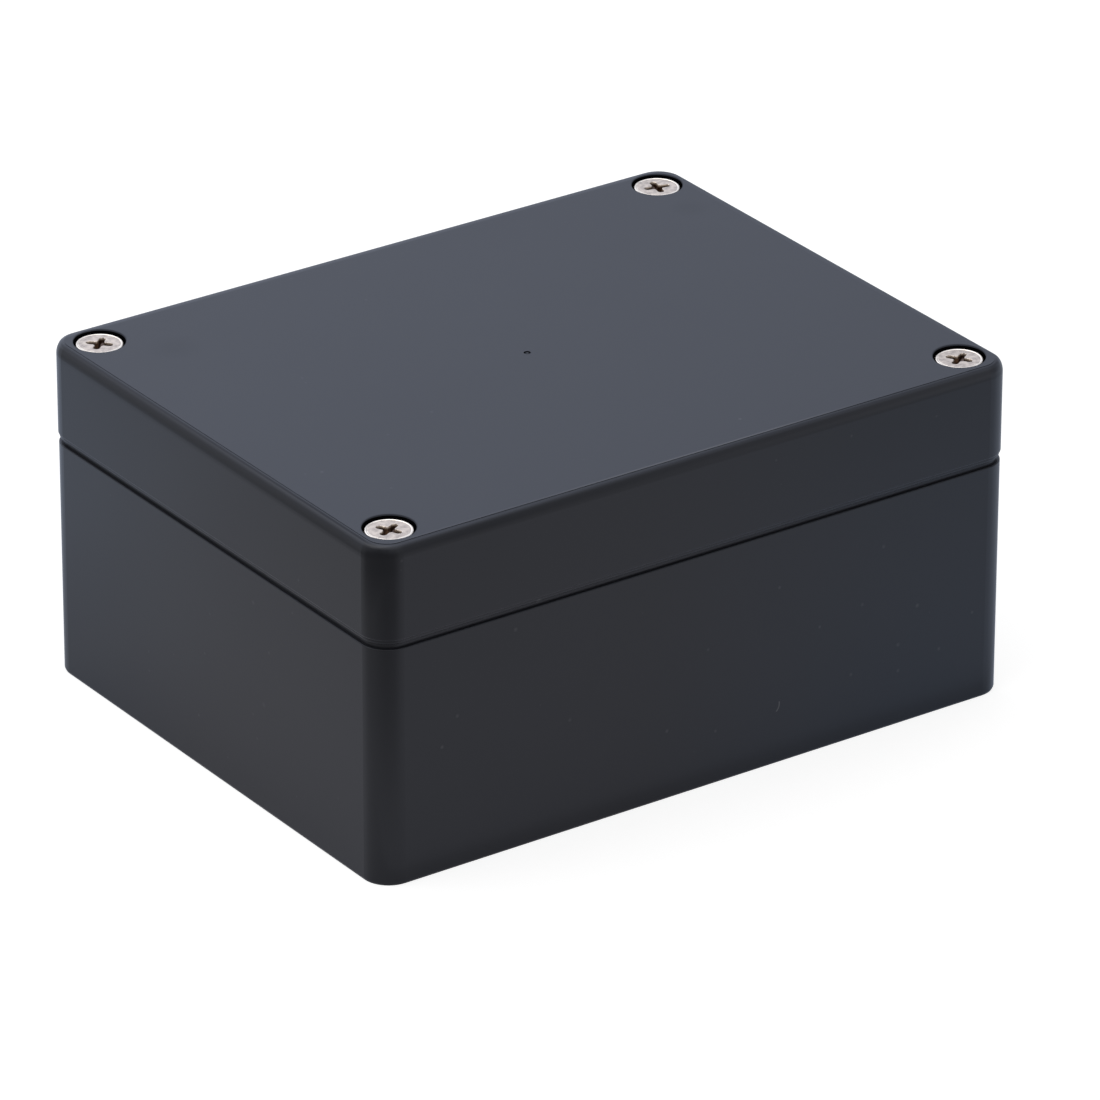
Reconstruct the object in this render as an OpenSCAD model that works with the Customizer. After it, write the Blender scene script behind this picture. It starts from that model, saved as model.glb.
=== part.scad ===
// Sealed two-part project box: base, lid, sealing cord, four lid screws and their inserts.
// Origin at the middle of the underside, X along the length, Y along the width, Z up, millimetres.

/* [Box] */
// Length of the closed box
box_l = 115; // [112:1:140]
// Width of the closed box
box_w = 90; // [88:1:120]
// Height of the closed box
box_h = 55; // [50:1:80]
// Height of the seam above the underside
seam_z = 38.5; // [34:0.1:38.5]
// Radius of the four upright corners
corner_r = 4.5; // [4.4:0.1:5]
// Radius of the lid's rounded top edge
top_r = 2.8; // [2.5:0.1:3]
// Radius of the base's bottom edge
foot_r = 0.4; // [0.2:0.1:0.8]

/* [Walls] */
// Thickness of the base's side walls
wall_t = 2.8; // [2.6:0.1:3]
// Thickness of the floor
floor_t = 3; // [2.5:0.1:4]
// Thickness of the lid's roof
roof_t = 3; // [2.5:0.1:3.2]
// Thickness of the walls that part the corner cells from the sealed space
partition_t = 2.5; // [2.3:0.1:3]

/* [Seal] */
// Width of the base's raised tongue
tongue_w = 1.4; // [1.2:0.1:1.5]
// Height of the tongue above the seam
tongue_h = 3; // [2:0.1:3.5]
// Gap between the tongue and each side of the lid's groove
groove_gap = 0.2; // [0.1:0.05:0.25]
// Thickness of the sealing cord
gasket_h = 2; // [1.5:0.1:2.5]

/* [Corner cells] */
// Size of a cell along X, measured inside the outer wall
cell_x = 9.7; // [9.5:0.1:10.5]
// Size of a cell along Y, measured inside the outer wall
cell_y = 21.5; // [21:0.1:24]
// Spacing of the wall-fixing holes along X
fixing_x = 102; // [102:0.5:103]
// Spacing of the wall-fixing holes along Y
fixing_y = 57; // [56:0.5:58]
// Diameter of the wall-fixing holes
fixing_d = 4.5; // [4:0.1:5]

/* [Lid screws] */
// Distance of the screws from the ends of the box
screw_inset_x = 5.95; // [5.9:0.05:6.3]
// Distance of the screws from the sides of the box
screw_inset_y = 6.05; // [5.9:0.05:6.3]
// Diameter of the screw heads
head_d = 7.3; // [6.9:0.1:7.4]
// Height of the screw heads
head_h = 2.6; // [2:0.1:2.6]
// Depth of the heads below the top of the lid
head_drop = 0.3; // [0.2:0.01:0.4]
// Diameter of the screw shanks
shank_d = 3.9; // [3.8:0.05:3.9]
// Length of the screws under the head
shank_l = 20; // [18:0.5:22]

/* [Circuit board] */
// Spacing of the board posts along X
board_x = 80; // [70:1:82]
// Spacing of the board posts along Y
board_y = 60; // [50:1:62]
// Height of the board posts above the floor
post_h = 5; // [4:0.5:8]
// Diameter of the pilot holes for the board's screws
pilot_d = 2.6; // [2.2:0.1:3]

/* [Hidden] */
$fn = 64;
eps = 0.01;

// Colours of the plastic, the cord, the brass and the screws
abs_colour = [0.09, 0.095, 0.11];
rubber_colour = [0.06, 0.06, 0.065];
brass_colour = [0.78, 0.6, 0.28];
steel_colour = [0.74, 0.72, 0.68];

// Outside: the base is a little smaller than the lid, whose lowest band is set in too and
// stops short of the base, so that a narrow gap shows all the way round
base_inset = 0.1;
base_edge_r = 0.15;
band_inset = 0.2;
band_top = 1.35;
band_edge_r = 0.4;
block_edge_r = 0.3;
seam_gap = 0.7;
seam_gap_depth = 0.6;

// Top of the lid: a flat panel, a low step and a tighter curve, which turns through an angle
// before the wider curve of the edge takes over
panel_step = 0.06;
shoulder_r = 1;
shoulder_turn = 60;
panel_inset = top_r - (top_r - shoulder_r) * sin(shoulder_turn);

// Sealed space: a rectangle with a corner cell cut from each corner
space_l = box_l - 2 * (base_inset + wall_t);
space_w = box_w - 2 * (base_inset + wall_t);
space_r = 2.5;
notch_r = partition_t + space_r;
rib_t = 1.4;
groove_out = tongue_w + groove_gap;
lid_inside = -(groove_gap + rib_t);
gasket_z = seam_z + tongue_h;
roof_z = box_h - roof_t;

// Corner cells: the lid's are narrower, because its groove takes room
lid_land = 0.5;
fixing_floor = 4;
boss_r = 4.6;

// Screws, their wells and their inserts
well_gap = 0.33;
screw_x = box_l / 2 - screw_inset_x;
screw_y = box_w / 2 - screw_inset_y;
well_r = head_d / 2 + well_gap;
head_top = box_h - head_drop;
seat_z = head_top - head_h;
shank_hole_r = 2.2;
shank_tip = 0.4;
head_edge_r = 0.55;
insert_r = 2.8;
insert_bore_r = shank_d / 2 + 0.05;
insert_l = 8;
insert_top = seam_z - 0.3;
insert_waist_h = 1.2;
insert_waist_r = 2.4;
insert_lead = 0.3;
core_hole_r = 2.3;
core_hole_z = insert_top - insert_l - 3;

// Cross recess: arms in a cone, round a wider middle
recess_depth = 2;
recess_span = 4.2;
recess_foot = 1.7;
recess_arm_w = 0.8;
recess_core = 1.8;

// Board posts, and guide ribs on the long walls for boards that stand upright
post_r = 3;
post_foot_r = 4;
post_foot_h = 1;
pilot_depth = 6;
guide_at = [-28, 28];
guide_slot = 1.8;
guide_w = 1.3;
guide_depth = 1.6;
guide_h = 32;
guide_lead = 2;

// Small round mark that the injection point leaves in the middle of a moulding
gate_r = 0.55;
gate_depth = 0.2;
gate_nub_r = 0.22;
gate_nub_h = 0.12;
gate_at = [-0.9, -0.9];

// A rectangle with round corners
module rounded_rect(l, w, r) {
  square([l - 2 * r, w], center = true);
  square([l, w - 2 * r], center = true);
  for (x = [-1, 1])
    for (y = [-1, 1])
      translate([x * (l / 2 - r), y * (w / 2 - r)])
        circle(r);
}

// Outline of the sealed space, moved outwards by d
module seal_outline(d) {
  l = space_l + 2 * d;
  w = space_w + 2 * d;
  r = notch_r - d;
  rounded_rect(l, w - 2 * cell_y, space_r + d);
  rounded_rect(l - 2 * cell_x, w, space_r + d);
  for (x = [0, 1])
    for (y = [0, 1])
      mirror([x, 0])
        mirror([0, y])
          translate([l / 2 - cell_x, w / 2 - cell_y])
            difference() {
              translate([-eps, -eps])
                square(r + eps);
              translate([r, r])
                circle(r);
            }
}

// Section of a block's edge, from the corner's axis outwards: r wide and h high, with a top
// edge that curves first by the radius shoulder and then by the radius top, and a foot edge
module edge_section(r, h, top, shoulder, foot) {
  shoulder_x = r - top + (top - shoulder) * sin(shoulder_turn);
  top_z = h - shoulder - (top - shoulder) * cos(shoulder_turn);
  square([shoulder_x, h]);
  translate([shoulder_x, h - shoulder])
    circle(shoulder);
  intersection() {
    square([r, top_z + top * cos(shoulder_turn)]);
    translate([r - top, top_z])
      circle(top);
  }
  translate([0, foot])
    square([r, top_z - foot]);
  square([r - foot, h / 2]);
  translate([r - foot, foot])
    circle(foot);
}

// A block with round upright corners and the section above all round it
module moulded_block(l, w, r, h, top, shoulder, foot) {
  for (turn = [0, 180]) {
    rotate([0, 0, turn])
      translate([l / 2 - r, w / 2 - r, 0])
        rotate([90, 0, 0])
          linear_extrude(w - 2 * r)
            edge_section(r, h, top, shoulder, foot);
    rotate([0, 0, turn + 90])
      translate([w / 2 - r, l / 2 - r, 0])
        rotate([90, 0, 0])
          linear_extrude(l - 2 * r)
            edge_section(r, h, top, shoulder, foot);
    rotate([0, 0, turn])
      translate([l / 2 - r, w / 2 - r, 0])
        rotate_extrude(angle = 90)
          edge_section(r, h, top, shoulder, foot);
    rotate([0, 0, turn + 90])
      translate([w / 2 - r, l / 2 - r, 0])
        rotate_extrude(angle = 90)
          edge_section(r, h, top, shoulder, foot);
  }
  translate([r - l / 2, r - w / 2, 0])
    cube([l - 2 * r, w - 2 * r, h]);
}

// Children in all four corners, mirrored from the back right one
module in_corners() {
  for (x = [0, 1])
    for (y = [0, 1])
      mirror([x, 0, 0])
        mirror([0, y, 0])
          children();
}

// Plan of a corner cell, with its inner sides moved in by land
module cell_plan(land) {
  cell_l = cell_x - partition_t - land;
  cell_w = cell_y - partition_t - land;
  translate([space_l / 2 - cell_l / 2, space_w / 2 - cell_w / 2])
    rounded_rect(cell_l, cell_w, space_r);
}

// Dimple with a nub in its middle, below a face at z = 0
module gate_mark() {
  translate([gate_at[0], gate_at[1], -gate_depth])
    difference() {
      cylinder(r = gate_r, h = gate_depth + 1);
      translate([0, 0, -1])
        cylinder(r = gate_nub_r, h = gate_nub_h + 1);
    }
}

// Board post, with a wider foot
module board_post() {
  translate([board_x / 2, board_y / 2, floor_t - eps]) {
    cylinder(r = post_r, h = post_h + eps);
    cylinder(r1 = post_foot_r, r2 = post_r, h = post_foot_h);
  }
}

// Two ribs that hold the edge of an upright board, on the inside of the back wall
module board_guide() {
  for (side = [-1, 1])
    translate([side * (guide_slot + guide_w) / 2 - guide_w / 2, space_w / 2, floor_t - eps])
      rotate([90, 0, 90])
        linear_extrude(guide_w)
          polygon([[1, 0], [-guide_depth, 0], [-guide_depth, guide_h - guide_lead], [0, guide_h],
                   [1, guide_h]]);
}

// The outside of the base, closed
module base_block() {
  moulded_block(box_l - 2 * base_inset, box_w - 2 * base_inset, corner_r - base_inset, seam_z,
                base_edge_r, base_edge_r, foot_r);
}

// The base's hollows: the sealed space, the corner cells and the screw posts' holes
module base_hollows() {
  translate([0, 0, floor_t])
    linear_extrude(seam_z)
      seal_outline(0);
  in_corners() {
    difference() {
      translate([0, 0, fixing_floor])
        linear_extrude(seam_z)
          cell_plan(0);
      translate([screw_x, screw_y, 0])
        cylinder(r = boss_r, h = seam_z);
    }
    translate([fixing_x / 2, fixing_y / 2, -1])
      cylinder(d = fixing_d, h = fixing_floor + 2);
    translate([screw_x, screw_y, insert_top - insert_l])
      cylinder(r = insert_r, h = seam_z);
    translate([screw_x, screw_y, core_hole_z])
      cylinder(r = core_hole_r, h = seam_z);
  }
}

// Everything that stands on the base's floor or walls
module base_fittings() {
  translate([0, 0, seam_z - 1])
    linear_extrude(tongue_h + 1)
      difference() {
        seal_outline(tongue_w);
        seal_outline(0);
      }
  in_corners()
    board_post();
  for (x = guide_at)
    for (side = [0, 1])
      translate([x, 0, 0])
        mirror([0, side, 0])
          board_guide();
}

module base() {
  color(abs_colour)
    difference() {
      union() {
        difference() {
          base_block();
          base_hollows();
        }
        base_fittings();
      }
      in_corners()
        translate([board_x / 2, board_y / 2, floor_t + post_h - pilot_depth])
          cylinder(d = pilot_d, h = pilot_depth + 1);
      mirror([0, 0, 1])
        gate_mark();
    }
}

// A slab that is as large as the closed box, less an inset all round
module slab(inset, h) {
  linear_extrude(h)
    rounded_rect(box_l - 2 * inset, box_w - 2 * inset, corner_r - inset);
}

// The outside of the lid, closed, from the top down: the panel, the main block, the lower
// band that is set in, and the plinth behind the gap, which rests on the base
module lid_block() {
  translate([0, 0, box_h - 1])
    slab(panel_inset, 1);
  translate([0, 0, seam_z + band_top])
    moulded_block(box_l, box_w, corner_r, box_h - panel_step - seam_z - band_top, top_r,
                  shoulder_r, block_edge_r);
  translate([0, 0, seam_z + seam_gap])
    moulded_block(box_l - 2 * band_inset, box_w - 2 * band_inset, corner_r - band_inset,
                  band_top - seam_gap + 1, band_edge_r, band_edge_r, band_edge_r);
  translate([0, 0, seam_z])
    slab(seam_gap_depth, seam_gap + 1);
}

// The lid's hollows under its roof: the sealed space, the groove and the corner cells
module lid_hollows() {
  translate([0, 0, seam_z - 1])
    linear_extrude(roof_z - seam_z + 1)
      seal_outline(lid_inside);
  translate([0, 0, seam_z - 1])
    linear_extrude(tongue_h + gasket_h + 1)
      difference() {
        seal_outline(groove_out);
        seal_outline(-groove_gap);
      }
  in_corners()
    difference() {
      translate([0, 0, seam_z - 1])
        linear_extrude(roof_z - seam_z + 1)
          cell_plan(lid_land);
      translate([screw_x, screw_y, seam_z - 2])
        cylinder(r = boss_r, h = box_h);
    }
}

module lid() {
  color(abs_colour)
    difference() {
      lid_block();
      lid_hollows();
      in_corners()
        translate([screw_x, screw_y, 0]) {
          translate([0, 0, seat_z])
            cylinder(r = well_r, h = box_h);
          translate([0, 0, seam_z - 1])
            cylinder(r = shank_hole_r, h = box_h);
        }
      translate([0, 0, box_h])
        gate_mark();
    }
}

module gasket() {
  color(rubber_colour)
    translate([0, 0, gasket_z])
      linear_extrude(gasket_h)
        difference() {
          seal_outline(groove_out);
          seal_outline(-groove_gap);
        }
}

// Threaded insert for the corner at x, y, where each is -1 or 1
module insert(x, y) {
  half_band = (insert_l - insert_waist_h) / 2;
  color(brass_colour)
    translate([x * screw_x, y * screw_y, insert_top - insert_l])
      rotate_extrude()
        polygon([
          [insert_bore_r, 0],
          [insert_r - insert_lead, 0],
          [insert_r, insert_lead],
          [insert_r, half_band],
          [insert_waist_r, half_band],
          [insert_waist_r, insert_l - half_band],
          [insert_r, insert_l - half_band],
          [insert_r, insert_l],
          [insert_bore_r + insert_lead, insert_l],
          [insert_bore_r, insert_l - insert_lead]
        ]);
}

// Cross recess, below a face at z = 0
module cross_recess() {
  translate([0, 0, -recess_depth]) {
    intersection() {
      for (turn = [0, 90])
        rotate([0, 0, turn])
          translate([-recess_span, -recess_arm_w / 2, 0])
            cube([2 * recess_span, recess_arm_w, recess_depth + 1]);
      cylinder(d1 = recess_foot, d2 = recess_span, h = recess_depth + eps);
    }
    cylinder(d1 = recess_foot * 0.7, d2 = recess_core, h = recess_depth + eps);
  }
}

// Half section of a screw, from its tip at z = 0 to the top of its head
module screw_section() {
  shank_r = shank_d / 2;
  head_r = head_d / 2;
  polygon([
    [0, 0],
    [shank_r - shank_tip, 0],
    [shank_r, shank_tip],
    [shank_r, shank_l],
    [head_r, shank_l],
    [head_r, shank_l + head_h - head_edge_r],
    [head_r - head_edge_r, shank_l + head_h - head_edge_r],
    [head_r - head_edge_r, shank_l + head_h],
    [0, shank_l + head_h]
  ]);
  translate([head_r - head_edge_r, shank_l + head_h - head_edge_r])
    intersection() {
      circle(head_edge_r);
      square(head_edge_r);
    }
}

// Lid screw for the corner at x, y, turned to where it was tightened
module screw(x, y, turn) {
  color(steel_colour)
    translate([x * screw_x, y * screw_y, seat_z - shank_l])
      rotate([0, 0, turn])
        difference() {
          rotate_extrude()
            screw_section();
          translate([0, 0, shank_l + head_h])
            cross_recess();
        }
}

module insert_front_left() { insert(-1, -1); }
module insert_front_right() { insert(1, -1); }
module insert_back_left() { insert(-1, 1); }
module insert_back_right() { insert(1, 1); }
module screw_front_left() { screw(-1, -1, 26); }
module screw_front_right() { screw(1, -1, 31); }
module screw_back_left() { screw(-1, 1, 42); }
module screw_back_right() { screw(1, 1, 77); }

base();
lid();
gasket();
insert_front_left();
insert_front_right();
insert_back_left();
insert_back_right();
screw_front_left();
screw_front_right();
screw_back_left();
screw_back_right();
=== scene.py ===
"""Looks of a sealed plastic project box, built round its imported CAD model."""
import math

import bmesh
import bpy
from mathutils import Matrix, Vector


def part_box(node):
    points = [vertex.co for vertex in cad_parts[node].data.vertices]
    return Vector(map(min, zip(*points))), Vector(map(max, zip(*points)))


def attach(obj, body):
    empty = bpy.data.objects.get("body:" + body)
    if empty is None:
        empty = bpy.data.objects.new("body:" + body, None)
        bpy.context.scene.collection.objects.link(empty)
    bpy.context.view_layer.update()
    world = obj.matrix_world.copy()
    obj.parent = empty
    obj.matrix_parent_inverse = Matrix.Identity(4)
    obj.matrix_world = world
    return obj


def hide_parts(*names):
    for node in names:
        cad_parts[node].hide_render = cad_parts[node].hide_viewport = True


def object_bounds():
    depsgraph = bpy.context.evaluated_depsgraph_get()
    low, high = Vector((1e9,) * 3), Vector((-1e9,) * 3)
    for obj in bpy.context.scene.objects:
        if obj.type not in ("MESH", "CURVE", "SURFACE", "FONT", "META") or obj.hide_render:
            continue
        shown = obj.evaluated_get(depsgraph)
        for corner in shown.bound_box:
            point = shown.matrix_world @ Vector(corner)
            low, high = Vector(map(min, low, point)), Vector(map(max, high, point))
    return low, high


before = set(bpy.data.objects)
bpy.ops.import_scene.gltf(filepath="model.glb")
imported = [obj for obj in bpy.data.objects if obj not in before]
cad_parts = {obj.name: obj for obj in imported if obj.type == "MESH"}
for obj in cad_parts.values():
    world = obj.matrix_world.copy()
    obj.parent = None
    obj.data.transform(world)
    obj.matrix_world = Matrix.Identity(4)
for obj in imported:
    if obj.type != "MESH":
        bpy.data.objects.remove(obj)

MM = 0.001
CAD_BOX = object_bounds()
CAD_LOW, CAD_HIGH = CAD_BOX

# Camera, as it stands towards the box
CAMERA_AZIMUTH = math.radians(-35.0)
CAMERA_ELEVATION = math.radians(26.05)
CAMERA_ROLL = math.radians(0.14)
CAMERA_DISTANCE = 1304.1 * MM
CAMERA_TARGET = Vector((-4.45, -12.07, 27.5)) * MM
CAMERA_LENS = 284.0
CAMERA_SENSOR = 36.0

# Ways in the box's frame
RIGHT = (1.0, 0.0, 0.0)
LEFT = (-1.0, 0.0, 0.0)
BACK = (0.0, 1.0, 0.0)
FRONT = (0.0, -1.0, 0.0)
UP = (0.0, 0.0, 1.0)

# Lid screws: the height of their heads, and how far each is turned, in degrees
HEAD_H = 2.6 * MM
SCREW_TURNS = {
    "screw_front_left": 26,
    "screw_front_right": 31,
    "screw_back_left": 42,
    "screw_back_right": 77,
}


# ---------------------------------------------------------------- node helpers
#
# A ramp is four numbers: where a change begins and ends, and the values before and after it.
# A ramp whose name ends in _MM begins and ends in millimetres, and any other in the unit of
# the value that it is used on.

WHITE = (1.0, 1.0, 1.0)
RISE = (0.0, 1.0)
FALL = (1.0, 0.0)


def in_mm(point):
    return Vector(point) * MM


def new_material(name):
    """A material with its node tree, its Principled shader and an object-space coordinate."""
    material = bpy.data.materials.new(name)
    material.use_nodes = True
    tree = material.node_tree
    shader = tree.nodes["Principled BSDF"]
    coord = tree.nodes.new("ShaderNodeTexCoord").outputs["Object"]
    return material, tree, shader, coord


def math_node(tree, operation, a, b=None, c=None, clamp=False):
    node = tree.nodes.new("ShaderNodeMath")
    node.operation = operation
    node.use_clamp = clamp
    for socket, value in zip(node.inputs, (a, b, c)):
        if value is None:
            continue
        if isinstance(value, (int, float)):
            socket.default_value = value
        else:
            tree.links.new(value, socket)
    return node.outputs[0]


def product(tree, *factors):
    """Everything given, multiplied together."""
    result = factors[0]
    for factor in factors[1:]:
        result = math_node(tree, "MULTIPLY", result, factor)
    return result


def vector_node(tree, operation, place, other):
    """A vector-math node on a place and a fixed vector."""
    node = tree.nodes.new("ShaderNodeVectorMath")
    node.operation = operation
    tree.links.new(place, node.inputs[0])
    node.inputs[1].default_value = other
    return node.outputs


def along(tree, place, way):
    """How far a place lies along a way."""
    return vector_node(tree, "DOT_PRODUCT", place, way)["Value"]


def distance(tree, place, point):
    return vector_node(tree, "DISTANCE", place, point)["Value"]


def nearest(tree, place, points):
    """Distance of a place from the nearest of some points."""
    least = distance(tree, place, points[0])
    for point in points[1:]:
        least = math_node(tree, "MINIMUM", least, distance(tree, place, point))
    return least


def flat(tree, place):
    """A place moved straight down to height 0."""
    return vector_node(tree, "MULTIPLY", place, (1.0, 1.0, 0.0))["Vector"]


def noise(tree, coord, scale, detail):
    node = tree.nodes.new("ShaderNodeTexNoise")
    node.inputs["Scale"].default_value = scale
    node.inputs["Detail"].default_value = detail
    tree.links.new(coord, node.inputs["Vector"])
    return node.outputs["Fac"]


def remap(tree, value, start, end, before, after):
    """A value carried along a ramp."""
    node = tree.nodes.new("ShaderNodeMapRange")
    node.inputs["From Min"].default_value = start
    node.inputs["From Max"].default_value = end
    node.inputs["To Min"].default_value = before
    node.inputs["To Max"].default_value = after
    tree.links.new(value, node.inputs["Value"])
    return node.outputs["Result"]


def remap_mm(tree, value, start, end, before, after):
    """A length carried along a ramp that begins and ends in millimetres."""
    return remap(tree, value, start * MM, end * MM, before, after)


def hump(tree, value, rise, fall):
    """1 between two slopes and 0 outside them."""
    return product(tree, remap(tree, value, *rise, *RISE), remap(tree, value, *fall, *FALL))


def mix_colour(tree, factor, a, b):
    node = tree.nodes.new("ShaderNodeMix")
    node.data_type = "RGBA"
    sockets = [s for s in node.inputs if s.type == "RGBA"]
    tree.links.new(factor, node.inputs["Factor"])
    for socket, value in zip(sockets, (a, b)):
        if isinstance(value, tuple):
            socket.default_value = (*value, 1.0)
        else:
            tree.links.new(value, socket)
    return next(s for s in node.outputs if s.type == "RGBA")


def scaled_colour(tree, colour, factor):
    node = tree.nodes.new("ShaderNodeVectorMath")
    node.operation = "SCALE"
    tree.links.new(colour, node.inputs[0])
    tree.links.new(factor, node.inputs["Scale"])
    return node.outputs[0]


def bump(tree, shader, height, strength, depth):
    """A bump under the shader, from a height that reaches the given depth."""
    node = tree.nodes.new("ShaderNodeBump")
    node.inputs["Strength"].default_value = strength
    node.inputs["Distance"].default_value = depth
    tree.links.new(height, node.inputs["Height"])
    tree.links.new(node.outputs["Normal"], shader.inputs["Normal"])
    return node


def screw_axes():
    """Where the lid screws stand, seen from above."""
    places = []
    for node in SCREW_TURNS:
        low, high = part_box(node)
        places.append(Vector(((low.x + high.x) / 2, (low.y + high.y) / 2, 0.0)))
    return places


# ------------------------------------------------------- marks on the plastic

# Small pale marks: place in millimetres, radius in millimetres, and how strong. MARK_CORE is the
# share of its radius in which a mark has its full strength.
LID_MARKS = (
    ((27.0, -45.0, 50.8), 0.30, 0.30), ((-29.3, -44.8, 39.2), 0.55, 1.00),
    ((-57.5, -24.1, 42.2), 0.30, 0.30), ((11.6, -38.0, 55.0), 0.35, 0.55),
    ((-24.5, -10.1, 55.0), 0.35, 0.30), ((-49.2, -18.0, 55.0), 0.40, 0.40),
    ((-51.6, -17.2, 55.0), 0.22, 0.35),
)
BASE_MARKS = (
    ((-33.5, -45.0, 35.9), 0.45, 0.35), ((14.2, -45.0, 29.3), 0.35, 0.45),
    ((29.7, -45.0, 22.1), 0.40, 0.30), ((44.4, -45.0, 10.5), 0.40, 0.40),
    ((40.1, -45.0, 19.0), 0.45, 0.45), ((36.6, -45.0, 13.4), 0.45, 0.35),
    ((27.8, -45.0, 10.9), 0.40, 0.35), ((36.7, -45.0, 9.0), 0.40, 0.35),
    ((1.2, -45.0, 22.7), 0.35, 0.30), ((2.7, -45.0, 8.7), 0.35, 0.40),
    ((-6.2, -45.0, 11.3), 0.40, 0.40), ((-43.8, -45.0, 24.8), 0.40, 0.40),
    ((-23.8, -45.0, 18.3), 0.40, 0.30), ((-46.5, -45.0, 20.5), 0.40, 0.45),
    ((21.8, -45.0, 20.6), 0.35, 0.40), ((50.6, -45.0, 14.9), 0.35, 0.45),
    ((33.5, -45.0, 30.7), 0.40, 0.35), ((-57.5, -11.7, 33.5), 0.45, 0.35),
    ((-57.5, -15.8, 26.9), 0.40, 0.30), ((-57.5, -14.2, 17.7), 0.55, 0.25),
    ((-57.5, 3.7, 8.4), 0.35, 0.35), ((-57.5, 17.4, 13.4), 0.30, 0.30),
)
MARK_CORE = 0.25

# Stray dust: cells for each metre, the share of cells that stay bare, and how a speck fades
DUST_CELLS = 210.0
DUST_BARE = 0.72
DUST_FADE = (0.03, 0.06, 0.22, 0.0)

# The curved nick in the base's front: an arc round a centre, cut off where it gets too far
# from its middle
NICK_MIDDLE = in_mm((14.4, -45.0, 9.4))
NICK_CENTRE = in_mm((12.9, -45.0, 9.9))
NICK_LINE_MM = (0.06, 0.16, 1.0, 0.0)
NICK_REACH_MM = (0.76, 0.95, 1.0, 0.0)


def dust(tree, coord):
    """How strongly stray specks of dust pale the plastic at a place."""
    cells = tree.nodes.new("ShaderNodeTexVoronoi")
    cells.inputs["Scale"].default_value = DUST_CELLS
    tree.links.new(coord, cells.inputs["Vector"])
    chance = tree.nodes.new("ShaderNodeSeparateColor")
    tree.links.new(cells.outputs["Color"], chance.inputs[0])
    dusty = math_node(tree, "GREATER_THAN", chance.outputs[0], DUST_BARE)
    return product(tree, remap(tree, cells.outputs["Distance"], *DUST_FADE), dusty)


def nick(tree, coord):
    """How strongly the nick pales the plastic at a place."""
    arc_r = (NICK_MIDDLE - NICK_CENTRE).length
    beside = math_node(tree, "SUBTRACT", distance(tree, coord, NICK_CENTRE), arc_r)
    line = remap_mm(tree, math_node(tree, "ABSOLUTE", beside), *NICK_LINE_MM)
    return product(tree, line, remap_mm(tree, distance(tree, coord, NICK_MIDDLE), *NICK_REACH_MM))


def pale_marks(tree, coord, marks):
    """How strongly small marks and stray dust pale the plastic at a place."""
    strength = dust(tree, coord)
    for point, radius, level in marks:
        off = distance(tree, coord, in_mm(point))
        mark = remap_mm(tree, off, MARK_CORE * radius, radius, level, 0.0)
        strength = math_node(tree, "MAXIMUM", strength, mark)
    return strength


# ------------------------------------------------------ the lid's top and wells

# A painted highlight along the front edge of the lid's panel: how far that edge lies inside the
# lid, and how the highlight fades across it, down from the top and along it
PANEL_INSET = 1.24 * MM
HIGHLIGHT_ACROSS_MM = (0.25, 0.5, 1.0, 0.0)
HIGHLIGHT_UNDER_MM = (0.02, 0.04, 1.0, 0.0)
HIGHLIGHT_START_MM = (-32.0, -8.0, 0.25, 1.0)
HIGHLIGHT_END_MM = (14.0, 30.0, 1.0, 0.0)

# Painted shade in the screw wells: on their walls, and on the lid just behind and to the right of
# each, where a shifted circle reaches past the well
WELL_R_MM = 3.98
SHADE_SHIFT = in_mm((0.29, 0.41, 0.0))
SHADE_WALL_MM = (WELL_R_MM + 0.02, WELL_R_MM + 0.1, 1.0, 0.0)
SHADE_RIM_MM = (WELL_R_MM - 0.1, WELL_R_MM + 0.2, 0.9, 0.0)

# The softly rolled far edges: how wide they are, and the slope that they reach over a run
ROLL_WIDTH = 2.2 * MM
ROLL_RUN = 1.4 * MM
ROLL_SLOPE = 0.27

# Places that hands have dulled: place and radius in millimetres, then the share of the radius
# that is fully dull and how much gloss is left there
DULL_SPOTS = (((-43.3, 30.8, 55.0), 4.5), ((50.6, 28.8, 55.0), 3.6))
DULL_CORE = 0.3
DULL_GLOSS = 0.9


def painted_edge_highlight(tree, coord):
    """How strongly the painted highlight lightens the front edge of the lid's panel."""
    low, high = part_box("lid")
    off = math_node(tree, "SUBTRACT", along(tree, coord, BACK), low.y + PANEL_INSET)
    under = math_node(tree, "SUBTRACT", high.z, along(tree, coord, UP))
    x = along(tree, coord, RIGHT)
    return product(
        tree,
        remap_mm(tree, math_node(tree, "ABSOLUTE", off), *HIGHLIGHT_ACROSS_MM),
        remap_mm(tree, under, *HIGHLIGHT_UNDER_MM),
        remap_mm(tree, x, *HIGHLIGHT_START_MM),
        remap_mm(tree, x, *HIGHLIGHT_END_MM),
    )


def painted_well_shade(tree, coord):
    """How strongly painted shade darkens the screw wells and the lid just behind them."""
    axes = screw_axes()
    shifted = [axis + SHADE_SHIFT for axis in axes]
    from_above = flat(tree, coord)
    wall = remap_mm(tree, nearest(tree, from_above, axes), *SHADE_WALL_MM)
    rim = remap_mm(tree, nearest(tree, from_above, shifted), *SHADE_RIM_MM)
    return math_node(tree, "MAXIMUM", wall, rim)


def rolled_height(tree, coord):
    """Height of the lid's top near its two far edges, where it rolls softly down."""
    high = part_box("lid")[1]
    over_x = math_node(tree, "SUBTRACT", along(tree, coord, RIGHT), high.x - ROLL_WIDTH)
    over_y = math_node(tree, "SUBTRACT", along(tree, coord, BACK), high.y - ROLL_WIDTH)
    over = math_node(tree, "MAXIMUM", math_node(tree, "MAXIMUM", over_x, over_y), 0.0)
    return product(tree, over, over, -ROLL_SLOPE / ROLL_RUN / 2)


def hand_dulled(tree, coord):
    """How much gloss is left where hands have dulled the lid."""
    left_over = 1.0
    for point, radius in DULL_SPOTS:
        off = distance(tree, coord, in_mm(point))
        dull = remap_mm(tree, off, DULL_CORE * radius, radius, DULL_GLOSS, 1.0)
        left_over = math_node(tree, "MULTIPLY", dull, left_over)
    return left_over


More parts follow.
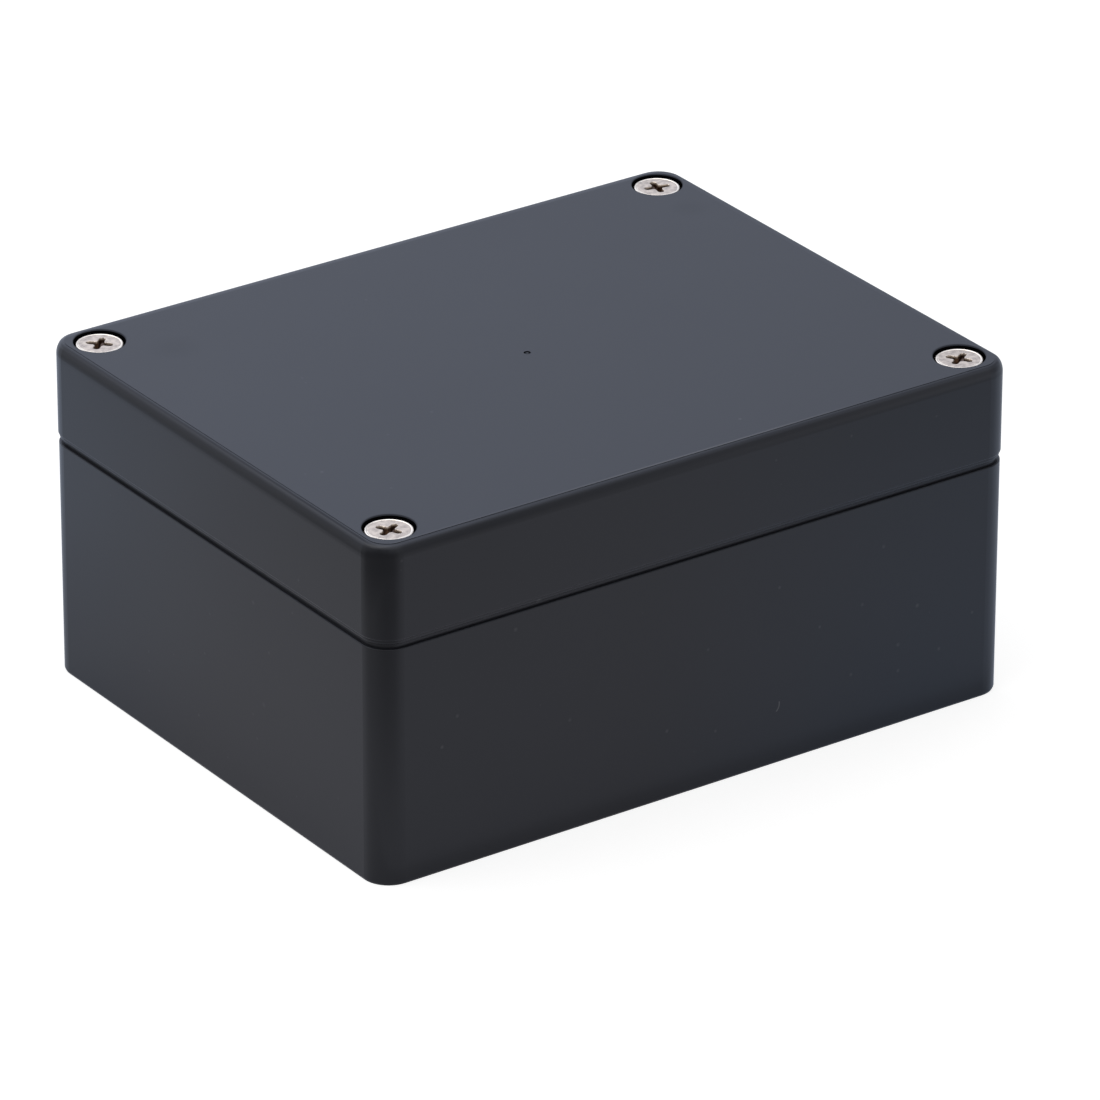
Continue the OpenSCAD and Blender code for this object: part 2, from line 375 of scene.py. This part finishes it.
# ------------------------------------------------------- gleam of rounded edges

# Which way the plastic faces, as ramps on the normal's share in a way
CORNER_FACES_LEFT = (0.08, 0.35, *RISE)
CORNER_UPRIGHT = (0.25, 0.5, *FALL)

# The near upright corner: where round it the gleam sinks, and how much of it is lost by height
CORNER_WHOLE = (0.03, 0.25, *RISE)
CORNER_WHOLE_LOSS_MM = (44.0, 51.0, 0.0, 0.43)
CORNER_RIGHT = (0.5, 0.8, *RISE)
CORNER_RIGHT_LOSS_MM = (15.0, 45.0, 0.0, 0.33)

# The lid's front edge: two bands by how far they face up, and how much each gains along the edge
FRONT_FACES = (0.2, 0.4, *RISE)
LIP_BAND = ((0.3, 0.5), (0.94, 0.99))
LIP_GAIN_MM = (-45.0, 10.0, 0.3, -0.22)
GLEAM_BAND = ((0.1, 0.3), (0.66, 0.88))
GLEAM_GAIN_MM = (-40.0, 57.0, 0.0, 1.05)

# The lid's left edge: where the gleam rises and falls, in millimetres under the lid's top, what
# it gains near the camera, and what more it gains at the back
LEFT_FACES = (0.15, 0.3, *RISE)
LEFT_BEGINS_MM = (-43.0, -40.0, *RISE)
LEFT_BACKWARDS_MM = (-30.0, 40.0, *RISE)
LEFT_GLEAM = (
    ((0.03, 0.05), (0.20, 0.30), -0.57, 0.32),
    ((0.18, 0.28), (0.50, 0.75), 0.50, -0.55),
    ((0.25, 0.40), (1.00, 1.45), 0.25, 0.23),
    ((1.30, 1.65), (2.20, 2.65), -0.36, 0.21),
)


def corner_shade(tree, coord, facing):
    """How much less the walls gleam round the near upright corner."""
    height = along(tree, coord, UP)
    front = along(tree, facing, FRONT)
    whole = product(tree, remap(tree, front, *CORNER_WHOLE),
                    remap_mm(tree, height, *CORNER_WHOLE_LOSS_MM))
    right = product(tree, remap(tree, front, *CORNER_RIGHT),
                    remap_mm(tree, height, *CORNER_RIGHT_LOSS_MM))
    return product(tree, math_node(tree, "MAXIMUM", whole, right),
                   remap(tree, along(tree, facing, LEFT), *CORNER_FACES_LEFT),
                   remap(tree, along(tree, facing, UP), *CORNER_UPRIGHT))


def front_gain(tree, coord, facing):
    """How much more the lid's rounded front edge gleams."""
    x = along(tree, coord, RIGHT)
    up = along(tree, facing, UP)
    lip = product(tree, remap_mm(tree, x, *LIP_GAIN_MM), hump(tree, up, *LIP_BAND))
    gleam = product(tree, remap_mm(tree, x, *GLEAM_GAIN_MM), hump(tree, up, *GLEAM_BAND))
    in_front = remap(tree, along(tree, facing, FRONT), *FRONT_FACES)
    return product(tree, math_node(tree, "ADD", lip, gleam), in_front)


def left_gain(tree, coord, facing):
    """How much more the lid's rounded left edge gleams."""
    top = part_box("lid")[1].z
    y = along(tree, coord, BACK)
    backwards = remap_mm(tree, y, *LEFT_BACKWARDS_MM)
    under = math_node(tree, "MULTIPLY_ADD", along(tree, coord, UP), -1.0 / MM, top / MM)
    gain = 0.0
    for rise, fall, near, more in LEFT_GLEAM:
        change = math_node(tree, "MULTIPLY_ADD", backwards, more, near)
        gain = math_node(tree, "MULTIPLY_ADD", change, hump(tree, under, rise, fall), gain)
    on_left = remap(tree, along(tree, facing, LEFT), *LEFT_FACES)
    return product(tree, gain, on_left, remap_mm(tree, y, *LEFT_BEGINS_MM))


def edge_gloss(tree, coord, facing):
    """How much the rounded upper edges of the lid gleam, where the rest of it has 1."""
    gain = math_node(tree, "ADD", front_gain(tree, coord, facing), left_gain(tree, coord, facing))
    return math_node(tree, "ADD", gain, 1.0)


# ------------------------------------------------------------------- materials

# Each noise is a scale and a detail, and each bump a strength and a depth
ABS_DARK = (0.0130, 0.0138, 0.0172)
ABS_LIGHT = (0.0155, 0.0163, 0.0202)
ABS_CLOUDS = (28.0, 4.0)
ABS_GRAIN = (2600.0, 2.0)
ABS_BUMP = (0.12, 0.03 * MM)
ABS_SHADE = (0.35, 0.65, *RISE)
ABS_ROUGH = (0.3, 0.7, 0.29, 0.35)
ABS_GLOSS = 0.28
MARK_COLOUR = (0.085, 0.086, 0.092)
# A lighter colour for the painted highlight on the front edge of the lid's panel
PAINTED_HIGHLIGHT_COLOUR = (0.060, 0.061, 0.066)
# A near-black for the painted shade in the screw wells and just behind them, and how much gloss it
# takes
PAINTED_SHADE_COLOUR = (0.0015, 0.0015, 0.002)
SHADE_GLOSS_LOSS = 0.93

# Screw steel, and the brown film in the recess: where it lies, and where it is worn thin
STEEL_COLOURS = ((0.47, 0.39, 0.31), (0.68, 0.57, 0.45))
# A lighter copy of the steel's colours, a painted highlight round the heads' rims
RIM_HIGHLIGHT_COLOURS = ((0.80, 0.70, 0.56), (0.90, 0.80, 0.66))
STEEL_MOTTLE = (1100.0, 4.0)
STEEL_BUMP = (0.2, 0.02 * MM)
STEEL_SHADE = (0.38, 0.62, *RISE)
STEEL_ROUGH = (0.3, 0.7, 0.26, 0.36)
FILM_UNDER_TOP_MM = (0.1, 0.45, *RISE)
FILM_OVER_SEAT = (0.9 * HEAD_H, HEAD_H, *FALL)
FILM_WITHIN_MM = (2.5, 2.8, *FALL)
FILM_WORN_MM = (0.5, 1.3, *FALL)
FILM_COLOUR = (0.045, 0.020, 0.011)
FILM_WORN_COLOUR = (0.42, 0.25, 0.15)
FILM_DULLS_METAL = 0.6

BRASS_COLOURS = ((0.55, 0.36, 0.13), (0.75, 0.54, 0.24))
BRASS_MOTTLE = (700.0, 3.0)
BRASS_ROUGH = (0.3, 0.7, 0.25, 0.4)

RUBBER_COLOURS = ((0.010, 0.010, 0.011), (0.022, 0.022, 0.023))
RUBBER_GRAIN = (900.0, 4.0)
RUBBER_BUMP = (0.3, 0.05 * MM)
RUBBER_ROUGH = 0.72
RUBBER_GLOSS = 0.3


def abs_material(name):
    """Dark charcoal ABS with a fine satin mould finish."""
    material, tree, shader, coord = new_material(name)
    is_lid = name == "abs_lid"
    cloud = noise(tree, coord, *ABS_CLOUDS)
    grain = noise(tree, coord, *ABS_GRAIN)
    colour = mix_colour(tree, remap(tree, cloud, *ABS_SHADE), ABS_DARK, ABS_LIGHT)
    marks = pale_marks(tree, coord, LID_MARKS if is_lid else BASE_MARKS)
    if not is_lid:
        marks = math_node(tree, "MAXIMUM", marks, nick(tree, coord))
    colour = mix_colour(tree, marks, colour, MARK_COLOUR)
    facing = tree.nodes.new("ShaderNodeTexCoord").outputs["Normal"]
    shade = corner_shade(tree, coord, facing)
    gloss = math_node(tree, "MULTIPLY_ADD", shade, -ABS_GLOSS, ABS_GLOSS)
    fine_bump = bump(tree, shader, grain, *ABS_BUMP)
    if is_lid:
        # Painted shade darkens the screw wells and the lid just behind them, and takes most of
        # their gloss
        well_shade = painted_well_shade(tree, coord)
        # Painted highlight: a lighter band along the front edge of the lid's panel
        colour = mix_colour(tree, painted_edge_highlight(tree, coord), colour, PAINTED_HIGHLIGHT_COLOUR)
        colour = mix_colour(tree, well_shade, colour, PAINTED_SHADE_COLOUR)
        unshaded = math_node(tree, "MULTIPLY_ADD", well_shade, -SHADE_GLOSS_LOSS, 1.0)
        gloss = product(tree, gloss, unshaded, hand_dulled(tree, coord),
                        edge_gloss(tree, coord, facing))
        roll = tree.nodes.new("ShaderNodeBump")
        roll.inputs["Distance"].default_value = 1.0
        tree.links.new(rolled_height(tree, coord), roll.inputs["Height"])
        tree.links.new(roll.outputs["Normal"], fine_bump.inputs["Normal"])
    tree.links.new(remap(tree, cloud, *ABS_ROUGH), shader.inputs["Roughness"])
    tree.links.new(gloss, shader.inputs["Specular IOR Level"])
    tree.links.new(colour, shader.inputs["Base Color"])
    return material


def steel_material(name, colours):
    """Warm nickel-plated steel, with a brown film down in the recess."""
    material, tree, shader, coord = new_material(name)
    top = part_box("screw_front_left")[1].z
    depth = math_node(tree, "SUBTRACT", top, along(tree, coord, UP))
    from_axis = nearest(tree, flat(tree, coord), screw_axes())
    film = product(
        tree,
        remap_mm(tree, depth, *FILM_UNDER_TOP_MM),
        remap(tree, depth, *FILM_OVER_SEAT),
        remap_mm(tree, from_axis, *FILM_WITHIN_MM),
    )
    mottle = noise(tree, coord, *STEEL_MOTTLE)
    shade = remap(tree, mottle, *STEEL_SHADE)
    metal = mix_colour(tree, shade, *colours)
    worn = product(tree, remap_mm(tree, from_axis, *FILM_WORN_MM), shade)
    film_colour = mix_colour(tree, worn, FILM_COLOUR, FILM_WORN_COLOUR)
    colour = mix_colour(tree, film, metal, film_colour)
    tree.links.new(colour, shader.inputs["Base Color"])
    metallic = math_node(tree, "MULTIPLY_ADD", film, -FILM_DULLS_METAL, 1.0)
    tree.links.new(metallic, shader.inputs["Metallic"])
    tree.links.new(remap(tree, mottle, *STEEL_ROUGH), shader.inputs["Roughness"])
    bump(tree, shader, mottle, *STEEL_BUMP)
    return material


def brass_material():
    """Turned brass, a little dulled."""
    material, tree, shader, coord = new_material("turned_brass")
    mottle = noise(tree, coord, *BRASS_MOTTLE)
    colour = mix_colour(tree, mottle, *BRASS_COLOURS)
    tree.links.new(colour, shader.inputs["Base Color"])
    tree.links.new(remap(tree, mottle, *BRASS_ROUGH), shader.inputs["Roughness"])
    shader.inputs["Metallic"].default_value = 1.0
    return material


def rubber_material():
    """Dull black sealing rubber."""
    material, tree, shader, coord = new_material("seal_rubber")
    grain = noise(tree, coord, *RUBBER_GRAIN)
    colour = mix_colour(tree, grain, *RUBBER_COLOURS)
    tree.links.new(colour, shader.inputs["Base Color"])
    shader.inputs["Roughness"].default_value = RUBBER_ROUGH
    shader.inputs["Specular IOR Level"].default_value = RUBBER_GLOSS
    bump(tree, shader, grain, *RUBBER_BUMP)
    return material


# ------------------------------------------------------------------------ stage

FLOOR_SIZE = 12.0
FLOOR_GAP = 0.02 * MM
FLOOR_ALBEDO = 0.5
FLOOR_GLOW = 0.77
WORLD_DIFFUSE = 0.5

KEY_PLACE = (-0.6, 0.5, 1.8)
KEY_SIZE = 2.2
KEY_POWER = 12.0

# The surround that gloss shows is bluish towards the back and brightest above. It is dimmer on
# both sides, in front, low down and along DARK_WAY, which leads left from the near corner.
BACK_WAY = (0.75, 0.66, 0.0)
DARK_WAY = (-0.95, -0.31, 0.0)
BACK_TINT = (0.92, 1.01, 1.25)
FRONT_TINT = (0.93, 0.96, 1.06)
WORLD_TINT = (-0.3, 0.5, *RISE)
WORLD_LEVELS = (
    (RIGHT, (0.3, 0.7, 1.40, 0.62)),
    (RIGHT, (-0.6, 0.1, 0.55, 1.0)),
    (FRONT, (-0.1, 0.4, 1.0, 0.58)),
    (UP, (0.0, 0.25, 0.8, 1.0)),
    (DARK_WAY, (0.6, 0.95, 1.0, 0.6)),
)
WORLD_TOP = (0.6, 0.85, 0.0, 0.6)

# The floor that gloss shows, in millimetres from the box's middle. It is bluish behind that,
# brighter far behind and a little in front, and dimmer on the far left, far off, along DARK_WAY
# from the near corner, and from the foot of the left side on, where it isn't in front of the box.
FLOOR_BACK_TINT = (0.82, 1.02, 1.42)
FLOOR_NEAR_TINT = (0.93, 0.96, 1.14)
FLOOR_TINT_MM = (-40.0, 0.0, *RISE)
FLOOR_LEVELS_MM = (
    (RIGHT, (-170.0, -115.0, 0.5, 1.0)),
    (FRONT, (20.0, 60.0, 1.0, 1.09)),
    (FRONT, (-140.0, -70.0, 1.42, 1.0)),
)
FLOOR_FOOT_MM = (-92.0, -60.0, 1.0, 0.64)
FLOOR_IN_FRONT_MM = (45.0, 50.0, *RISE)
FLOOR_FAR_MM = (140.0, 240.0, 0.8, 0.5)
FLOOR_DARK_BEARING = (-0.15, 0.6, 0.0, 0.8)
FLOOR_DARK_FROM_MM = (10.0, 110.0, *RISE)


def ray_kinds(tree):
    """What a ray is, and whether it is of a kind that sees the stage."""
    path = tree.nodes.new("ShaderNodeLightPath").outputs
    seen = math_node(tree, "ADD", path["Is Camera Ray"], path["Is Glossy Ray"])
    seen = math_node(tree, "ADD", seen, path["Is Transmission Ray"], clamp=True)
    return path, seen


def floor_darkness(tree, coord):
    """How dark gloss shows the floor that leads away from the near corner."""
    corner = (CAD_LOW[0], CAD_LOW[1], 0.0)
    from_corner = vector_node(tree, "SUBTRACT", coord, corner)["Vector"]
    off = distance(tree, coord, corner)
    bearing = math_node(tree, "DIVIDE", along(tree, from_corner, DARK_WAY), off)
    return product(tree, remap(tree, bearing, *FLOOR_DARK_BEARING),
                   remap_mm(tree, off, *FLOOR_DARK_FROM_MM))


def floor_gloss(tree, coord):
    """The colour that gloss shows the floor in."""
    back = remap_mm(tree, along(tree, coord, BACK_WAY), *FLOOR_TINT_MM)
    tint = mix_colour(tree, back, FLOOR_NEAR_TINT, FLOOR_BACK_TINT)
    foot = remap_mm(tree, along(tree, coord, RIGHT), *FLOOR_FOOT_MM)
    in_front = remap_mm(tree, along(tree, coord, FRONT), *FLOOR_IN_FRONT_MM)
    levels = [remap_mm(tree, along(tree, coord, way), *ramp) for way, ramp in FLOOR_LEVELS_MM]
    level = product(
        tree,
        math_node(tree, "SUBTRACT", 1.0, floor_darkness(tree, coord)),
        math_node(tree, "MAXIMUM", foot, in_front),
        remap_mm(tree, distance(tree, coord, (0.0, 0.0, 0.0)), *FLOOR_FAR_MM),
        *levels,
    )
    return scaled_colour(tree, tint, level)


def floor_material():
    """White to the camera, tinted to gloss, and plain pale to soft light."""
    material, tree, shader, coord = new_material("floor_white")
    shader.inputs["Base Color"].default_value = (FLOOR_ALBEDO, FLOOR_ALBEDO, FLOOR_ALBEDO, 1.0)
    shader.inputs["Roughness"].default_value = 1.0
    shader.inputs["Specular IOR Level"].default_value = 0.0
    path, seen = ray_kinds(tree)
    colour = mix_colour(tree, path["Is Camera Ray"], floor_gloss(tree, coord), WHITE)
    tree.links.new(colour, shader.inputs["Emission Color"])
    tree.links.new(product(tree, seen, FLOOR_GLOW), shader.inputs["Emission Strength"])
    return material


def make_floor():
    """A pale floor just under the box, which keeps the box's shadow."""
    half = FLOOR_SIZE / 2
    level = CAD_LOW[2] - FLOOR_GAP
    corners = [(x * half, y * half, level) for x, y in ((-1, -1), (1, -1), (1, 1), (-1, 1))]
    mesh = bpy.data.meshes.new("floor")
    mesh.from_pydata(corners, [], [(0, 1, 2, 3)])
    mesh.materials.append(floor_material())
    floor = bpy.data.objects.new("floor", mesh)
    bpy.context.scene.collection.objects.link(floor)


def make_world():
    """White to the camera, tinted to gloss, and a plain soft fill for everything else."""
    world = bpy.data.worlds.new("studio")
    bpy.context.scene.world = world
    world.use_nodes = True
    tree = world.node_tree
    background = tree.nodes["Background"]
    way = tree.nodes.new("ShaderNodeTexCoord").outputs["Generated"]
    path, seen = ray_kinds(tree)
    back = remap(tree, along(tree, way, BACK_WAY), *WORLD_TINT)
    tint = mix_colour(tree, back, FRONT_TINT, BACK_TINT)
    level = product(tree, *[remap(tree, along(tree, way, w), *ramp) for w, ramp in WORLD_LEVELS])
    level = math_node(tree, "ADD", level, remap(tree, along(tree, way, UP), *WORLD_TOP))
    colour = mix_colour(tree, path["Is Glossy Ray"], WHITE, scaled_colour(tree, tint, level))
    tree.links.new(colour, background.inputs["Color"])
    strength = remap(tree, seen, 0.0, 1.0, WORLD_DIFFUSE, 1.0)
    tree.links.new(strength, background.inputs["Strength"])


def make_key_light():
    """A soft round light, high up behind on the left, which faces the middle of the box."""
    data = bpy.data.lights.new("key", "AREA")
    data.shape = "DISK"
    data.size = KEY_SIZE
    data.energy = KEY_POWER
    light = bpy.data.objects.new("key", data)
    bpy.context.scene.collection.objects.link(light)
    light.location = KEY_PLACE
    middle = Vector((0, 0, (CAD_LOW[2] + CAD_HIGH[2]) / 2))
    light.rotation_euler = (middle - light.location).to_track_quat("-Z", "Y").to_euler()


def make_camera():
    data = bpy.data.cameras.new("camera")
    data.sensor_width = CAMERA_SENSOR
    data.lens = CAMERA_LENS
    camera = bpy.data.objects.new("camera", data)
    bpy.context.scene.collection.objects.link(camera)
    back = Vector((
        math.sin(CAMERA_AZIMUTH) * math.cos(CAMERA_ELEVATION),
        -math.cos(CAMERA_AZIMUTH) * math.cos(CAMERA_ELEVATION),
        math.sin(CAMERA_ELEVATION),
    ))
    camera.location = CAMERA_TARGET + back * CAMERA_DISTANCE
    level = (-back).to_track_quat("-Z", "Y")
    camera.rotation_euler = (level.to_matrix() @ Matrix.Rotation(CAMERA_ROLL, 3, "Z")).to_euler()
    bpy.context.scene.camera = camera


def make_stage():
    make_floor()
    make_world()
    make_key_light()
    make_camera()
    bpy.context.scene.view_settings.view_transform = "Standard"


# ------------------------------------------------------------------- lid screws

# Points round each ring of a screw, rings for each part of it (a turn of the thread, the head's
# rounded edge and its face), and the angle up to which edges are shaded smooth
RING = 144
THREAD_STEPS = 8
EDGE_STEPS = 8
FACE_STEPS = 46
SMOOTH_UNDER = math.radians(50)

# Shank and thread: both grow from a thinner tip to their full size over a lead-in. The groove
# between two crests has a flat root and straight sides.
SHANK_R = 1.95 * MM
THREAD_PITCH = 0.7 * MM
THREAD_DEPTH = 0.38 * MM
THREAD_SLOPE = 1.3
THREAD_ROOT = 1.15
TIP_STEP = 0.4 * MM
LEAD_IN = 1.2 * MM

# Head: a bevel at its foot, a rounded upper edge, a flat rim, a groove inside the rim, and a face
# that lies a little lower
HEAD_FOOT = 0.12 * MM
HEAD_EDGE_R = 0.24 * MM
HEAD_RIM = 0.16 * MM
FACE_GROOVE = 0.05 * MM
FACE_DROP = 0.02 * MM

# Cross recess: how far its arms reach, their half width, the round middle, how softly these
# join, how its wall falls from the lip, and how its floor slopes down to the middle
RECESS_SPAN = 2.1 * MM
RECESS_ARM = 0.50 * MM
RECESS_CORE = 0.60 * MM
RECESS_BLEND = 0.4 * MM
RECESS_LIP = 0.22 * MM
RECESS_LIP_START = 0.15
RECESS_EDGE_DEPTH = 0.7 * MM
RECESS_SLOPE = 0.6
RECESS_FLOOR = 1.5 * MM


def smooth_min(a, b, k):
    """The smaller of two lengths, blended where they differ by less than k."""
    h = max(k - abs(a - b), 0.0) / k
    return min(a, b) - h * h * k / 4


def recess_depth(x, y):
    """Depth of the cross recess under the head's top, at x and y from its middle."""
    radius = math.hypot(x, y)
    outline = radius - RECESS_CORE
    for u, v in ((abs(x), abs(y)), (abs(y), abs(x))):
        past_end = max(u - RECESS_SPAN + RECESS_ARM, 0.0)
        arm = math.hypot(past_end, v) - RECESS_ARM
        outline = smooth_min(outline, arm, RECESS_BLEND)
    inside = min(max(-outline / RECESS_LIP + RECESS_LIP_START, 0.0), 1.0)
    wall = inside * inside * (3 - 2 * inside)
    slope = RECESS_EDGE_DEPTH + RECESS_SLOPE * max(RECESS_SPAN - radius, 0.0)
    return wall * min(RECESS_FLOOR, slope)


def ring_angles():
    return [2 * math.pi * j / RING for j in range(RING)]


def circle_ring(r, z):
    return [(r * math.cos(a), r * math.sin(a), z) for a in ring_angles()]


def thread_ring(height, z):
    """One ring of the shank, at a height over its tip."""
    tip_r = SHANK_R - TIP_STEP
    lead = min(height / LEAD_IN, 1.0)
    ring = []
    for j, angle in enumerate(ring_angles()):
        phase = (height / THREAD_PITCH - j / RING) % 1.0
        crest = abs(phase - 0.5) * 2
        cut = THREAD_DEPTH * min(max(THREAD_ROOT - crest * THREAD_SLOPE, 0.0), 1.0)
        r = tip_r + (SHANK_R - tip_r) * lead - cut * lead
        ring.append((r * math.cos(angle), r * math.sin(angle), z))
    return ring


def face_ring(r, top, turn):
    """One ring of the head's face, which the turned cross recess sinks into."""
    c, s = math.cos(turn), math.sin(turn)
    ring = []
    for angle in ring_angles():
        x, y = r * math.cos(angle), r * math.sin(angle)
        depth = max(recess_depth(c * x + s * y, c * y - s * x), FACE_DROP)
        ring.append((x, y, top - depth))
    return ring


def head_profile(head_r, seat, top):
    """Radius and height of the rings up the head's side and round its upper edge."""
    profile = [(head_r - HEAD_FOOT, seat), (head_r, seat + HEAD_FOOT), (head_r, top - HEAD_EDGE_R)]
    for i in range(1, EDGE_STEPS + 1):
        a = math.radians(90 * i / EDGE_STEPS)
        profile.append((
            head_r - HEAD_EDGE_R + HEAD_EDGE_R * math.cos(a),
            top - HEAD_EDGE_R + HEAD_EDGE_R * math.sin(a),
        ))
    return profile


def screw_rings(tip, top, head_r, turn):
    """Rings from the screw's tip to the middle of its head, and which of them start the rim."""
    seat = top - HEAD_H
    count = round((seat - tip) / (THREAD_PITCH / THREAD_STEPS))
    rings = []
    for i in range(count + 1):
        z = tip + (seat - tip) * i / count
        rings.append(thread_ring(z - tip, z))
    profile = head_profile(head_r, seat, top)
    rings.extend(circle_ring(r, z) for r, z in profile)
    face_r = head_r - HEAD_EDGE_R - HEAD_RIM
    rings.append(circle_ring(face_r, top))
    rings.append(circle_ring(face_r - FACE_GROOVE, top - FACE_GROOVE))
    face_r -= 2 * FACE_GROOVE
    rings.append(circle_ring(face_r, top - FACE_DROP))
    rings.extend(face_ring(face_r * (1 - i / FACE_STEPS), top, turn) for i in range(1, FACE_STEPS))
    # From the foot of the rounded edge, which is the profile's third ring, to the groove
    rim_start = count + 3
    return rings, range(rim_start, rim_start + len(profile))


def mesh_from_rings(name, rings, low_tip, high_tip, centre):
    """A closed skin over stacked rings, with a point at each end."""
    bm = bmesh.new()
    rows = [[bm.verts.new(Vector(p) + centre) for p in ring] for ring in rings]
    bottom = bm.verts.new(Vector((0, 0, low_tip)) + centre)
    top = bm.verts.new(Vector((0, 0, high_tip)) + centre)
    for a, b in zip(rows, rows[1:]):
        for j in range(RING):
            k = (j + 1) % RING
            bm.faces.new((a[j], a[k], b[k], b[j]))
    for j in range(RING):
        k = (j + 1) % RING
        bm.faces.new((rows[0][k], rows[0][j], bottom))
        bm.faces.new((rows[-1][j], rows[-1][k], top))
    mesh = bpy.data.meshes.new(name)
    bm.to_mesh(mesh)
    bm.free()
    piece = bpy.data.objects.new(name, mesh)
    bpy.context.scene.collection.objects.link(piece)
    return piece


def make_screw(node, steel, highlight_steel):
    """A threaded screw with a painted highlight round its head's rim, in the place of the plain
    one.
    """
    low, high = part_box(node)
    centre = Vector(((low.x + high.x) / 2, (low.y + high.y) / 2, 0))
    head_r = (high.x - low.x) / 2
    turn = math.radians(SCREW_TURNS[node])
    rings, rim_rows = screw_rings(low.z, high.z, head_r, turn)
    piece = mesh_from_rings(node + "_threaded", rings, low.z, high.z - RECESS_FLOOR, centre)
    piece.data.shade_smooth()
    piece.data.set_sharp_from_angle(angle=SMOOTH_UNDER)
    piece.data.materials.append(steel)
    piece.data.materials.append(highlight_steel)
    # The head's rounded edge, flat rim and groove take the lighter steel, a painted highlight
    for row in rim_rows:
        for face in piece.data.polygons[row * RING:(row + 1) * RING]:
            face.material_index = 1
    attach(piece, node)
    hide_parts(node)


# -------------------------------------------------------------------- the model

def dress_nodes():
    """Give each CAD node its material, and put a finer screw in the place of each plain one."""
    materials = {
        "base": abs_material("abs_base"),
        "lid": abs_material("abs_lid"),
        "gasket": rubber_material(),
    }
    brass = brass_material()
    steel = steel_material("nickel_steel", STEEL_COLOURS)
    # A lighter copy of the steel, which paints a highlight round the heads' rims
    highlight_steel = steel_material("steel_painted_highlight", RIM_HIGHLIGHT_COLOURS)
    for name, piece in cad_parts.items():
        if name.startswith("screw"):
            make_screw(name, steel, highlight_steel)
            continue
        piece.data.materials.clear()
        piece.data.materials.append(materials.get(name, brass))


make_stage()
dress_nodes()
